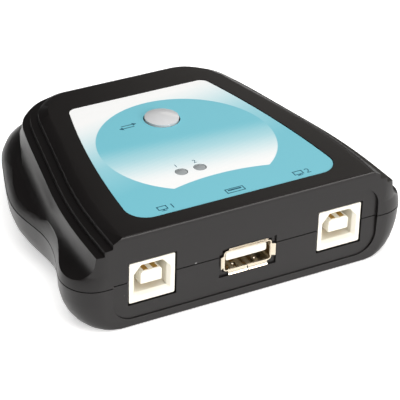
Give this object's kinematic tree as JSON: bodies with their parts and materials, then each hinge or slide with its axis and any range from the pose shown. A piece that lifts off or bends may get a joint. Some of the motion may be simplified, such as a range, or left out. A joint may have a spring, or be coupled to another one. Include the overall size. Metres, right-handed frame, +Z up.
{
  "type": "desktop USB switch",
  "caption": "Small desktop switch box with ribbed black case, square and flat USB sockets in front, round select button and status lights on a printed top.",
  "frame": {"origin": "on the surface the switch stands on, under the middle of its bounding box", "axes": "+X right along the socket face, +Y from the socket face to the back, +Z up"},
  "size_m": [0.0916, 0.0798, 0.027],
  "materials": {
    "black_moulding": "black moulding",
    "board_laminate": "green solder resist",
    "button_plastic": "pearl moulding",
    "can_aluminium": "drawn can",
    "case_plastic": "fine-textured black moulding",
    "ceramic_part": "ceramic",
    "contact_gilt": "gilt",
    "foot_rubber": "soft black rubber",
    "label_film": "satin printed film",
    "light_lens": "grey diffusing lens",
    "plated_sheet": "bright nickel plate",
    "plunger_plastic": "natural moulding",
    "screw_steel": "zinc plated",
    "socket_plastic": "cream moulding",
    "tinned_wire": "tinned"
  },
  "bodies": {
    "case": {"board_screws": "screw_steel", "bottom_shell": "case_plastic", "case_screws": "screw_steel", "chip_capacitors": "ceramic_part", "chip_resistors": "black_moulding", "circuit_board": "board_laminate", "controller_chip": "black_moulding", "crystal": "plated_sheet", "device_socket_contacts": "contact_gilt", "device_socket_shell": "plated_sheet", "device_socket_tongue": "socket_plastic", "face_label": "label_film", "hub_chip": "black_moulding", "light_leads": "tinned_wire", "light_spacers": "black_moulding", "pc_socket_1_contacts": "contact_gilt", "pc_socket_1_housing": "socket_plastic", "pc_socket_1_shield": "plated_sheet", "pc_socket_2_contacts": "contact_gilt", "pc_socket_2_housing": "socket_plastic", "pc_socket_2_shield": "plated_sheet", "reservoir_capacitors": "can_aluminium", "resettable_fuse": "ceramic_part", "rubber_feet": "foot_rubber", "status_light_1": "light_lens", "status_light_2": "light_lens", "switch_base": "black_moulding", "switch_dome": "plated_sheet", "switch_frame": "plated_sheet", "top_shell": "case_plastic"},
    "button": {"select_button": "button_plastic", "switch_plunger": "plunger_plastic"}
  },
  "joints": [
    {"name": "select_press", "type": "slide", "parent": "case", "child": "button", "axis": [0, 0, -1], "range_m": [0, 0.0004], "stiffness_N_per_m": 1500, "springref_m": -0.0004, "deforming": ["switch_dome"]}
  ]
}
